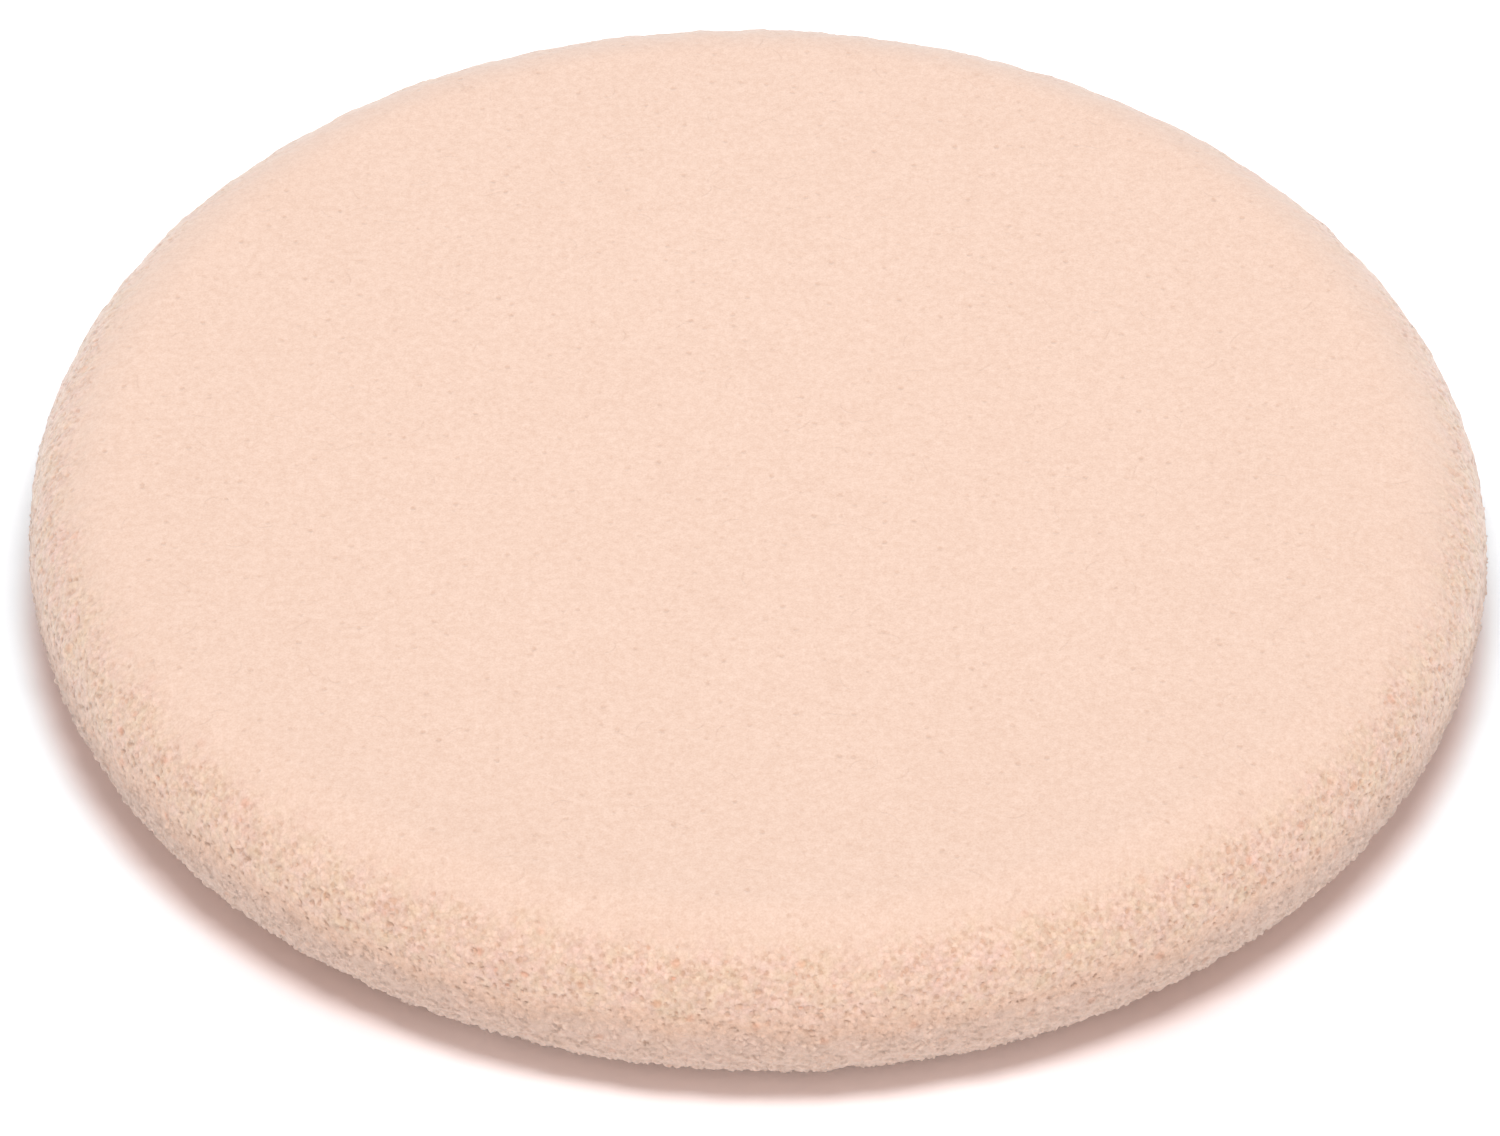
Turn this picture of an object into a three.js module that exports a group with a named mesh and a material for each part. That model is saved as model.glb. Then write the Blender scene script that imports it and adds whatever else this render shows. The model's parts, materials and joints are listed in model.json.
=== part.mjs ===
// A round, flat make-up sponge of moulded latex foam.
// A fine-celled layer lies on each face of an open-celled core. The edge is ground to a full round,
// which cuts through all three layers: each face layer thins out to a feathered rim, and the core
// stands bare as a belt between them.
// Millimetres, +Z up, origin at the middle of the lower face.

import * as THREE from "three";

// Driving dimensions
const DIAMETER = 60; // across the widest line of the edge
const THICKNESS = 8; // from the lower face to the upper one
const EDGE_REACH = 4; // from the widest line in to where the faces turn flat
const FACE_LAYER_DEPTH = 0.7; // of the fine-celled foam under each face

// How finely the round shapes are cut into facets
const ROUND_SEGMENTS = 120; // around the sponge
const CORE_EDGE_STEPS = 16; // up the core's belt
const FACE_EDGE_STEPS = 6; // up the feathered rim of each face layer

// Foam finishes
const FACE_FOAM = { color: 0xfbdac7, roughness: 0.85, metalness: 0 };
const CORE_FOAM = { color: 0xf3cfba, roughness: 0.95, metalness: 0 };

// The edge is half an ellipse, from the lower flat out to the widest line and back to the upper flat.
const HALF_THICKNESS = THICKNESS / 2;
const FLAT_RADIUS = DIAMETER / 2 - EDGE_REACH;

// Angles on that ellipse, measured from the widest line
const FLAT_ANGLE = Math.PI / 2;
const LAYER_ANGLE = Math.asin((HALF_THICKNESS - FACE_LAYER_DEPTH) / HALF_THICKNESS);

/** Points up the edge from one angle to a larger one, each as (radius, height). */
function edgeArc(fromAngle, toAngle, steps) {
  const edge = new THREE.EllipseCurve(
    FLAT_RADIUS, HALF_THICKNESS, EDGE_REACH, HALF_THICKNESS, fromAngle, toAngle);
  return edge.getPoints(steps);
}

/** A solid of revolution about Z: a stretch of the edge, closed by a flat below it and one above it. */
function layerGeometry(edgePoints) {
  const lowerMiddle = new THREE.Vector2(0, edgePoints.at(0).y);
  const upperMiddle = new THREE.Vector2(0, edgePoints.at(-1).y);
  const profile = [lowerMiddle, ...edgePoints, upperMiddle];
  return new THREE.LatheGeometry(profile, ROUND_SEGMENTS).rotateX(Math.PI / 2);
}

/** One named layer of the sponge. */
function layer(name, edgePoints, finish) {
  const mesh = new THREE.Mesh(layerGeometry(edgePoints), new THREE.MeshStandardMaterial(finish));
  mesh.name = name;
  return mesh;
}

const sponge = new THREE.Group();
sponge.add(
  layer("bottom_skin", edgeArc(-FLAT_ANGLE, -LAYER_ANGLE, FACE_EDGE_STEPS), FACE_FOAM),
  layer("foam_core", edgeArc(-LAYER_ANGLE, LAYER_ANGLE, CORE_EDGE_STEPS), CORE_FOAM),
  layer("top_skin", edgeArc(LAYER_ANGLE, FLAT_ANGLE, FACE_EDGE_STEPS), FACE_FOAM),
);

export default sponge;
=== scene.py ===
"""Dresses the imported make-up sponge: foam surfaces, finishes, light and camera.

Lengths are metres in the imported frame: +Z up, the lower face on z = 0, the sponge's axis on Z.
Angles on the edge are measured from its widest line: +90 degrees is the upper flat, -90 the lower one.
"""

from __future__ import annotations

import itertools
import json
import logging
import math
from dataclasses import dataclass
from enum import Enum

import bpy
import numpy as np
from mathutils import Matrix, Vector


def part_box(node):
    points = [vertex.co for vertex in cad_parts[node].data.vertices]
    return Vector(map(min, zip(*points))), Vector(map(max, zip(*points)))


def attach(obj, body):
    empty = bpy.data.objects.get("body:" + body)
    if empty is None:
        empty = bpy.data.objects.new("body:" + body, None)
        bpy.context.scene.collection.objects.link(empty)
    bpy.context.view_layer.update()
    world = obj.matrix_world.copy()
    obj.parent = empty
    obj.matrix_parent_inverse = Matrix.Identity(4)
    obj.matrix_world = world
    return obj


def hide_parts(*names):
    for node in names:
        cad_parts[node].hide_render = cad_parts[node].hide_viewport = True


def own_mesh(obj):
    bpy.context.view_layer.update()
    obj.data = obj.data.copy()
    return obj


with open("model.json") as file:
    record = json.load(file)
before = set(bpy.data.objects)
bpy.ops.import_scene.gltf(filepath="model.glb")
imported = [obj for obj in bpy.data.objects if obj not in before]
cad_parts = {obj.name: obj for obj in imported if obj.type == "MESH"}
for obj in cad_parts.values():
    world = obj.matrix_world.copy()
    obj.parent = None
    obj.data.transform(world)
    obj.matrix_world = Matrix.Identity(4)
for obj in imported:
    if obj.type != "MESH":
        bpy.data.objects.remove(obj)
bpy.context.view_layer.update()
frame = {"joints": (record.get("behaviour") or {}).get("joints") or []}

LOG = logging.getLogger("sponge")
MM = 0.001

# Names of the values that the surface code hands to the finishes
GROUND, CUT, PORE, EMBER, LOOSE, TINT = "ground", "cut", "pore", "ember", "loose", "tint"


def smooth_step(low: float, high: float, values: np.ndarray) -> np.ndarray:
    """Ramp t * t * (3 - 2 t), where t runs from 0 at low to 1 at high and is held outside.

    Args:
        low: Value at which the ramp is 0; it may be the larger of the two.
        high: Value at which the ramp is 1.
        values: Where to read the ramp.

    Returns:
        The ramp at each value.
    """
    t = np.clip((values - low) / (high - low), 0.0, 1.0)
    return t * t * (3.0 - 2.0 * t)


def lattice_random(cells: np.ndarray, channel: int) -> np.ndarray:
    """One fixed random number from 0 to 1 for each cube of a lattice.

    The cube's three numbers and the channel are multiplied by large odd numbers and joined by
    exclusive or; two rounds of shift and multiply mix the bits, and the top 24 are read as a fraction.

    Args:
        cells: Whole numbers of the cubes, in the last axis.
        channel: Picks one of many independent sets of numbers.

    Returns:
        An array without the last axis.
    """
    keys = cells.astype(np.int64).astype(np.uint64)
    mixed = keys[..., 0] * np.uint64(0x9E3779B97F4A7C15)
    mixed ^= keys[..., 1] * np.uint64(0xC2B2AE3D27D4EB4F)
    mixed ^= keys[..., 2] * np.uint64(0x165667B19E3779F9)
    mixed ^= np.uint64((channel + 1) * 0x27D4EB2F165667C5 % 2**64)
    mixed ^= mixed >> np.uint64(33)
    mixed *= np.uint64(0xFF51AFD7ED558CCD)
    mixed ^= mixed >> np.uint64(29)
    mixed *= np.uint64(0xC4CEB9FE1A85EC53)
    return (mixed >> np.uint64(40)).astype(np.float64) / 2**24


@dataclass(frozen=True)
class LatticeNoise:
    """Smooth noise on a cubic lattice.

    Attributes:
        pitch: Side of a lattice cube.
        channel: Set of random numbers that it uses.
    """

    pitch: float
    channel: int

    def at(self, points: np.ndarray) -> np.ndarray:
        """Noise from -1 to 1: the values at a cube's eight corners, blended by cubic ramps.

        Args:
            points: Places to read, one a row.

        Returns:
            One value for each place.
        """
        scaled = points / self.pitch
        corner = np.floor(scaled)
        ramp = smooth_step(0.0, 1.0, scaled - corner)
        total = np.zeros(len(points))
        for step in itertools.product((0, 1), repeat=3):
            weight = np.where(step, ramp, 1.0 - ramp).prod(axis=1)
            total += weight * lattice_random(corner + step, self.channel)
        return 2.0 * total - 1.0


@dataclass(frozen=True)
class Balls:
    """Balls scattered through the foam, one to a lattice cube: gas cells, or crumbs that stand out.

    Attributes:
        pitch: Side of a lattice cube.
        smallest: Radius of the smallest ball.
        largest: Radius of the largest ball, less than the pitch.
        share: Share of the cubes that hold a ball.
        channel: First of the five sets of random numbers that they use.
    """

    pitch: float
    smallest: float
    largest: float
    share: float
    channel: int

    CROWN_SOFTNESS = 0.5
    LEAST_RADIUS = 0.55

    def behind(
        self, points: np.ndarray, normals: np.ndarray, strength: np.ndarray
    ) -> tuple[np.ndarray, np.ndarray]:
        """How far the balls that a surface cuts reach behind it.

        A ball of radius r, whose middle lies h before the surface along the normal and q to the side,
        reaches sqrt(r r - q q) - h behind the surface. It counts as far as its crown,
        sqrt(r r - q q) + h, stands before it. The deepest ball wins. Where the strength is less, fewer
        and smaller balls are cut. With the normals turned round, the balls stand out instead.

        Args:
            points: Places on the smooth surface, one a row.
            normals: Directions there.
            strength: From 0, no balls, to 1.

        Returns:
            Depth at each place, and a random number from 0 to 1 of the ball that is deepest there.
        """
        home = np.floor(points / self.pitch)
        swell = self.LEAST_RADIUS + (1.0 - self.LEAST_RADIUS) * strength
        depth = np.zeros(len(points))
        kind = np.zeros(len(points))
        for step in itertools.product((-1, 0, 1), repeat=3):
            cube = home + step
            jitter = np.stack([lattice_random(cube, self.channel + k) for k in range(3)], axis=1)
            to_middle = (cube + jitter) * self.pitch - points
            lift = np.einsum("ij,ij->i", to_middle, normals)
            aside = np.einsum("ij,ij->i", to_middle, to_middle) - lift * lift
            size = lattice_random(cube, self.channel + 3)
            radius = (self.smallest + (self.largest - self.smallest) * size) * swell
            reach = np.sqrt(np.maximum(radius * radius - aside, 0.0))
            opened = smooth_step(0.0, 1.0, (reach + lift) / (self.CROWN_SOFTNESS * radius))
            draw = lattice_random(cube, self.channel + 4)
            cut = np.where(draw < self.share * strength, opened * (reach - lift), 0.0)
            cut = np.where(aside < radius * radius, cut, 0.0)
            kind = np.where(cut > depth, draw / self.share, kind)
            depth = np.maximum(depth, cut)
        return depth, kind


@dataclass(frozen=True)
class SpongeSizes:
    """Sizes of the sponge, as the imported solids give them.

    Attributes:
        radius: From the axis to the widest line of the edge.
        thickness: From face to face.
        layer_depth: Of the fine-celled layer under each face.
        seam_radius: Where the ground edge cuts through a face layer.
    """

    radius: float
    thickness: float
    layer_depth: float
    seam_radius: float

    @classmethod
    def from_frame(cls) -> SpongeSizes:
        """Reads the sizes off the boxes of the core and the upper layer."""
        core_low, core_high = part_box("foam_core")
        face_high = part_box("top_skin")[1]
        return cls(core_high.x, face_high.z, core_low.z, face_high.x)

    @property
    def half_thickness(self) -> float:
        """Height of the widest line of the edge."""
        return self.thickness / 2.0

    @property
    def seam_angle(self) -> float:
        """Angle on the edge at which the upper layer gives way to the core, in radians."""
        return math.asin(1.0 - self.layer_depth / self.half_thickness)

    @property
    def edge_reach(self) -> float:
        """How far the round of the edge runs in from the widest line."""
        return (self.radius - self.seam_radius) / (1.0 - math.cos(self.seam_angle))

    @property
    def flat_radius(self) -> float:
        """Radius at which the faces turn flat."""
        return self.radius - self.edge_reach


@dataclass
class Rings:
    """Rings of points about Z, in order along a profile that is cut by the half plane of +X.

    Attributes:
        radius: Of each ring.
        height: Of each ring.
        out: Outward part of the surface's unit normal.
        up: Upward part of the surface's unit normal.
        angle: Angle on the edge, in radians.
        columns: Number of points round each ring.
        hidden: True on a ring that lies inside the sponge, between two layers.
    """

    radius: np.ndarray
    height: np.ndarray
    out: np.ndarray
    up: np.ndarray
    angle: np.ndarray
    columns: np.ndarray
    hidden: np.ndarray

    @classmethod
    def joined(cls, *parts: Rings) -> Rings:
        """Several stretches of a profile as one."""
        names = cls.__dataclass_fields__
        return cls(**{name: np.concatenate([getattr(part, name) for part in parts]) for name in names})

    def turned_over(self) -> Rings:
        """The same rings in the opposite order."""
        names = self.__dataclass_fields__
        return Rings(**{name: getattr(self, name)[::-1] for name in names})

    @property
    def first(self) -> np.ndarray:
        """Number of the first point of each ring."""
        return np.concatenate([[0], np.cumsum(self.columns)[:-1]])

    @property
    def ring_of(self) -> np.ndarray:
        """Number of the ring that each point lies on."""
        return np.repeat(np.arange(len(self.columns)), self.columns)

    def turns(self) -> np.ndarray:
        """Share of a full turn at which each point lies."""
        ring = self.ring_of
        return (np.arange(len(ring)) - self.first[ring]) / self.columns[ring]

    def points_and_normals(self) -> tuple[np.ndarray, np.ndarray]:
        """Each ring's radius carried round the axis at its height, and its normal with it.

        Returns:
            Points and unit normals, one a row.
        """
        ring = self.ring_of
        turn = 2.0 * np.pi * self.turns()
        across, along = np.cos(turn), np.sin(turn)
        radius, out = self.radius[ring], self.out[ring]
        points = np.stack([radius * across, radius * along, self.height[ring]], axis=1)
        normals = np.stack([out * across, out * along, self.up[ring]], axis=1)
        return points, normals

    def arc(self) -> np.ndarray:
        """Length of the profile from its first ring to each ring."""
        steps = np.hypot(np.diff(self.radius), np.diff(self.height))
        return np.concatenate([[0.0], np.cumsum(steps)])

    def beside_hidden(self) -> np.ndarray:
        """True on each ring with a hidden one before or after it.

        Returns:
            One value for each ring.
        """
        beside = np.zeros(len(self.hidden), bool)
        beside[1:] |= self.hidden[:-1]
        beside[:-1] |= self.hidden[1:]
        return beside


@dataclass(frozen=True)
class SpongeProfile:
    """The sponge's outline in section, as rings that a layer picks from.

    Attributes:
        sizes: The sponge's sizes.
        edge_columns: Points round the edge; it halves towards the axis.
        halvings: How often it may halve.
        edge_step: Distance between rings on the edge.
        face_step: Distance between rings on a face.
        join_depth: How far the join between two layers runs in square to the surface, deeper than a pore.
    """

    sizes: SpongeSizes
    edge_columns: int = 3072
    halvings: int = 8
    edge_step: float = 0.06 * MM
    face_step: float = 0.16 * MM
    join_depth: float = 0.25 * MM

    LEAST_RADIUS = 0.001 * MM

    def edge(self, upper: float, lower: float) -> Rings:
        """Rings down the edge from one angle to a smaller one, both included.

        At an angle a the edge is an ellipse: radius = flat + reach cos a, height = half (1 + sin a).
        Its normal is along (cos a / reach, sin a / half).

        Args:
            upper: First angle, in radians.
            lower: Last angle, in radians.

        Returns:
            The rings, at even steps of angle.
        """
        sizes = self.sizes
        count = 1 + round((upper - lower) * sizes.half_thickness / self.edge_step)
        angle = np.linspace(upper, lower, count)
        out, up = np.cos(angle) / sizes.edge_reach, np.sin(angle) / sizes.half_thickness
        length = np.hypot(out, up)
        radius = sizes.flat_radius + sizes.edge_reach * np.cos(angle)
        height = sizes.half_thickness * (1.0 + np.sin(angle))
        columns = np.full(count, self.edge_columns)
        return Rings(radius, height, out / length, up / length, angle, columns, np.zeros(count, bool))

    def face(self, side: int) -> Rings:
        """Rings from a face's pole out to where its flat ends, that last ring left out.

        The number of columns halves whenever the points would crowd closer than the step, by one halving
        at most from a ring to the next, the edge's own rings included.

        Args:
            side: +1 for the upper face, -1 for the lower one.

        Returns:
            The rings, with the pole as a ring of one point.
        """
        sizes = self.sizes
        count = round(sizes.flat_radius / self.face_step)
        radius = np.arange(count) * sizes.flat_radius / count
        girth = 2.0 * np.pi * np.maximum(radius, self.LEAST_RADIUS)
        crowding = np.log2(self.edge_columns * self.face_step / girth)
        halved = np.clip(np.round(crowding), 0, self.halvings).astype(int)
        halved = np.minimum(halved, np.arange(count)[::-1] + 1)
        columns = np.where(radius > 0.0, self.edge_columns >> halved, 1)
        height = np.full(count, sizes.half_thickness * (1 + side))
        level, upright = np.zeros(count), np.full(count, float(side))
        angle = np.full(count, side * math.pi / 2.0)
        return Rings(radius, height, level, upright, angle, columns, np.zeros(count, bool))

    def inside(self, height: float, side: int) -> Rings:
        """Rings from the pole out over the join between two layers, the seam on the edge left out.

        The join is flat, and its last ring lies under the seam, the join depth in along the edge's normal.

        Args:
            height: Of the flat.
            side: +1 where the join is the top of a layer, -1 where it is the bottom.

        Returns:
            The hidden rings, with the columns doubling outwards.
        """
        step = np.arange(self.halvings + 2)
        columns = np.where(step > 0, self.edge_columns >> (self.halvings + 1 - step), 1)
        count = len(step)
        radius = self.sizes.seam_radius * step / count
        heights = np.full(count, height)
        belt = self.edge(self.sizes.seam_angle, -self.sizes.seam_angle)
        seam = 0 if height > self.sizes.half_thickness else -1
        radius[-1] = belt.radius[seam] - self.join_depth * belt.out[seam]
        heights[-1] -= self.join_depth * belt.up[seam]
        level, upright = np.zeros(count), np.full(count, float(side))
        angle = np.full(count, side * self.sizes.seam_angle)
        return Rings(radius, heights, level, upright, angle, columns, np.ones(count, bool))


@dataclass
class Faces:
    """Faces between neighbouring rings.

    Attributes:
        corner_ring: Ring of each corner, one face a row; a triangle has -1 as its fourth corner.
        corner_column: Column of each corner, which runs past the last one instead of starting again.
    """

    corner_ring: np.ndarray
    corner_column: np.ndarray

    @classmethod
    def between(cls, ring: int, upper: int, lower: int) -> Faces:
        """Faces from one ring to the next, seen from outside in counter-clockwise order.

        Equal rings give quads, a ring of twice as many points three triangles to a column, and a pole
        a fan.

        Args:
            ring: Number of the first of the two rings.
            upper: Points on the first ring.
            lower: Points on the next ring.

        Returns:
            The faces of that band.
        """
        a, b = ring, ring + 1
        fewer, more = sorted((upper, lower))
        j = np.arange(more if fewer == 1 else fewer)
        if upper == lower:
            corners = [[(a, j), (b, j), (b, j + 1), (a, j + 1)]]
        elif upper == 1:
            corners = [[(a, 0 * j), (b, j), (b, j + 1), (-1, j)]]
        elif lower == 1:
            corners = [[(a, j), (b, 0 * j), (a, j + 1), (-1, j)]]
        elif lower > upper:
            corners = [
                [(a, j), (b, 2 * j), (b, 2 * j + 1), (-1, j)],
                [(a, j), (b, 2 * j + 1), (a, j + 1), (-1, j)],
                [(a, j + 1), (b, 2 * j + 1), (b, 2 * j + 2), (-1, j)],
            ]
        else:
            corners = [
                [(a, 2 * j), (b, j), (a, 2 * j + 1), (-1, j)],
                [(a, 2 * j + 1), (b, j), (b, j + 1), (-1, j)],
                [(a, 2 * j + 1), (b, j + 1), (a, 2 * j + 2), (-1, j)],
            ]
        numbers = [np.stack([np.full(len(j), number) for number, _ in row], axis=1) for row in corners]
        columns = [np.stack([column for _, column in row], axis=1) for row in corners]
        return cls(np.concatenate(numbers), np.concatenate(columns))

    @classmethod
    def over(cls, rings: Rings) -> Faces:
        """All faces of a closed body of rings, from its first pole to its last.

        Args:
            rings: The body's rings.

        Returns:
            Its faces, band by band.
        """
        counts = [int(n) for n in rings.columns]
        bands = [cls.between(k, counts[k], counts[k + 1]) for k in range(len(counts) - 1)]
        return cls(
            np.concatenate([band.corner_ring for band in bands]),
            np.concatenate([band.corner_column for band in bands]),
        )

    def hidden_in(self, rings: Rings) -> np.ndarray:
        """True for each face with a corner on a hidden ring."""
        return rings.hidden[self.corner_ring].any(axis=1, where=self.corner_ring >= 0)

    def turns_in(self, rings: Rings) -> np.ndarray:
        """Share of a full turn at which each corner lies, with 1 where a ring closes."""
        return self.corner_column / rings.columns[self.corner_ring]


@dataclass(frozen=True)
class FoamSurface:
    """How the foam's real surface departs from the smooth outline.

    Attributes:
        skin_angle: Angle on the edge above which the skin is whole, in degrees.
        bare_angle: Angle below which the foam is fully ground, in degrees.
        ragged: How far the noise moves those angles, in degrees.
        full_angle: Angle down to which the grinding is deepest, in degrees.
        faint_angle: Angle from which it is faint, in degrees.
        faint_share: Strength of the grinding there.
        deepest: Depth that no pore goes beyond.
        swelling: How far the crests between the cells stand out past the outline.
        tallest: Height that no loose crumb goes beyond.
        sinking: How far the surface under the loose crumbs lies behind the outline.
        ease: Share by which the shading follows the outline instead of the rough surface.
        loose_ease: The same share among loose crumbs.
    """

    skin_angle: float = 72.0
    bare_angle: float = 38.0
    ragged: float = 7.0
    full_angle: float = 20.0
    faint_angle: float = -6.0
    faint_share: float = 0.25
    deepest: float = 0.12 * MM
    swelling: float = 0.02 * MM
    tallest: float = 0.16 * MM
    sinking: float = 0.115 * MM
    ease: float = 0.5
    loose_ease: float = 0.65

    # Noise that shifts the angles from place to place
    PATCH_NOISE = LatticeNoise(1.4 * MM, 11)

    # Noises of the relief, each with its height: on the whole edge, on ground foam and on the skin
    WAVES = (
        (LatticeNoise(0.45 * MM, 9), 0.034 * MM),
        (LatticeNoise(0.8 * MM, 10), 0.044 * MM),
        (LatticeNoise(1.6 * MM, 12), 0.034 * MM),
        (LatticeNoise(3.4 * MM, 18), 0.022 * MM),
        (LatticeNoise(8.0 * MM, 13), 0.036 * MM),
    )
    CRUMBS = ((LatticeNoise(0.17 * MM, 14), 0.014 * MM), (LatticeNoise(0.36 * MM, 15), 0.026 * MM))
    DIMPLES = ((LatticeNoise(0.5 * MM, 16), 0.006 * MM), (LatticeNoise(3.0 * MM, 17), 0.015 * MM))

    # Crumbs that stand out, cells that are cut open, and how far noise draws both out of round
    LOOSE_CRUMBS = (
        Balls(0.26 * MM, 0.095 * MM, 0.145 * MM, 0.85, 60),
        Balls(0.36 * MM, 0.11 * MM, 0.17 * MM, 0.40, 70),
    )
    CELLS = (
        Balls(0.24 * MM, 0.080 * MM, 0.120 * MM, 0.60, 20),
        Balls(0.42 * MM, 0.12 * MM, 0.17 * MM, 0.30, 30),
        Balls(0.95 * MM, 0.18 * MM, 0.24 * MM, 0.10, 40),
    )
    SKEW = tuple(LatticeNoise(0.22 * MM, channel) for channel in (51, 52, 53))
    SKEW_REACH = 0.085 * MM

    # Least strength at which cells count, strength from which they have their full depth, and how much of a
    # crumb's height counts against a pore, which puts the pit's painted shade in the hollows between crumbs
    LEAST_CUT = 0.01
    SHALLOW_SHARE = 0.35
    HOLLOW_SHARE = 0.4

    # Angles over which the waves come in from the faces, and over which the underside comes to rest
    ROUNDING_ANGLES = (88.0, 60.0)
    RESTING_ANGLES = (-75.0, -90.0)

    @staticmethod
    def deepest_of(
        sets: tuple[Balls, ...], points: np.ndarray, normals: np.ndarray, strength: np.ndarray
    ) -> tuple[np.ndarray, np.ndarray]:
        """How deep several sets of balls cut a surface.

        Args:
            sets: The sets of balls.
            points: Places on the surface, one a row.
            normals: Directions there.
            strength: From 0, no balls, to 1.

        Returns:
            Depth at each place, and the random number of the ball that is deepest there.
        """
        depth, kind = np.zeros(len(points)), np.zeros(len(points))
        for balls in sets:
            found, draw = balls.behind(points, normals, strength)
            kind = np.where(found > depth, draw, kind)
            depth = np.maximum(depth, found)
        return depth, kind

    def grinding(self, points: np.ndarray, angle: np.ndarray) -> tuple[np.ndarray, np.ndarray, np.ndarray]:
        """How far the skin is ground away, the cells cut open and the crumbs loose, from 0 to 1.

        The skin goes from the skin angle to the bare angle, by the angle's size, so both faces keep
        theirs. The cells follow it, and below the full angle they fade to the faint share while the
        crumbs come loose. Noise shifts the angles from place to place.

        Args:
            points: Places on the smooth surface.
            angle: Their angle on the edge, in radians.

        Returns:
            The three values for each place.
        """
        degrees = np.degrees(angle) + self.ragged * self.PATCH_NOISE.at(points)
        bare = smooth_step(self.skin_angle, self.bare_angle, np.abs(degrees))
        faint = smooth_step(self.full_angle, self.faint_angle, degrees)
        return bare, bare * (1.0 + (self.faint_share - 1.0) * faint), bare * faint

    def eased(self, normals: np.ndarray, rings: Rings, loose: np.ndarray) -> np.ndarray:
        """Directions for the shading, part of the way from the rough surface back to the outline.

        Light spreads inside the foam, so its crumbs shade less than their slopes. Beside a hidden flat the
        outline's own direction is taken, and the two layers meet with no line.

        Args:
            normals: Directions of the rough mesh, one a row.
            rings: The layer's smooth rings.
            loose: How loose the crumbs are at each place, from 0 to 1.

        Returns:
            Unit directions.
        """
        beside = rings.hidden | rings.beside_hidden()
        share = self.ease + (self.loose_ease - self.ease) * loose
        share = np.where(beside[rings.ring_of], 1.0, share)[:, None]
        mixed = normals + share * (rings.points_and_normals()[1] - normals)
        return mixed / np.linalg.norm(mixed, axis=1, keepdims=True)

    def shape(self, rings: Rings) -> tuple[np.ndarray, dict[str, np.ndarray]]:
        """The real surface over a layer's rings.

        The outline moves along its normal: out and in by long waves, in by the depth of the cut cells,
        and either way by crumbs where the foam is ground or by slight dimples where it is not. Where the
        crumbs are loose it sinks, and they stand out of it as balls. Nothing moves on the hidden flats, and
        the lower face stays flat on what it rests on.

        Args:
            rings: The layer's smooth rings.

        Returns:
            The points, and the values for the finish by name.
        """
        points, normals = rings.points_and_normals()
        ring = rings.ring_of
        angle = rings.angle[ring]
        degrees = np.degrees(angle)
        shown = ~rings.hidden[ring]
        rounding = smooth_step(*self.ROUNDING_ANGLES, np.abs(degrees))
        ground, opened, loose = (np.where(shown, part, 0.0) for part in self.grinding(points, angle))
        shift = np.zeros(len(points))
        for noise, height in self.WAVES:
            shift += rounding * height * noise.at(points)
        for noise, height in self.DIMPLES:
            shift += (1.0 - ground) * height * (noise.at(points) - 1.0)
        crumbs = np.zeros(len(points))
        for noise, height in self.CRUMBS:
            crumbs += ground * (1.0 + loose) * height * noise.at(points)
        depth, ember, stand, tint = (np.zeros(len(points)) for _ in range(4))
        cut = opened > self.LEAST_CUT
        skew = np.stack([noise.at(points[cut]) for noise in self.SKEW], axis=1)
        places = points[cut] + self.SKEW_REACH * skew
        stand[cut], tint[cut] = self.deepest_of(self.LOOSE_CRUMBS, places, -normals[cut], loose[cut])
        lumps = self.tallest * (1.0 - np.exp(-stand / self.tallest)) - self.sinking * loose
        depth[cut], ember[cut] = self.deepest_of(self.CELLS, places, normals[cut], opened[cut])
        depth = self.deepest * (1.0 - np.exp(-depth / self.deepest))
        depth *= smooth_step(0.0, self.SHALLOW_SHARE, opened)
        shift += self.swelling * ground + crumbs + lumps - depth
        resting = smooth_step(*self.RESTING_ANGLES, degrees)
        shift *= shown * (1.0 - resting)
        # Pore value: depth of the cut cells and of the hollows between crumbs, which the finish paints with
        # shade
        pore = np.clip((depth - self.HOLLOW_SHARE * crumbs) / self.deepest, 0.0, 1.0)
        values = {GROUND: ground, CUT: opened, PORE: pore, EMBER: ember, LOOSE: loose, TINT: tint}
        return points + shift[:, None] * normals, values


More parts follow.
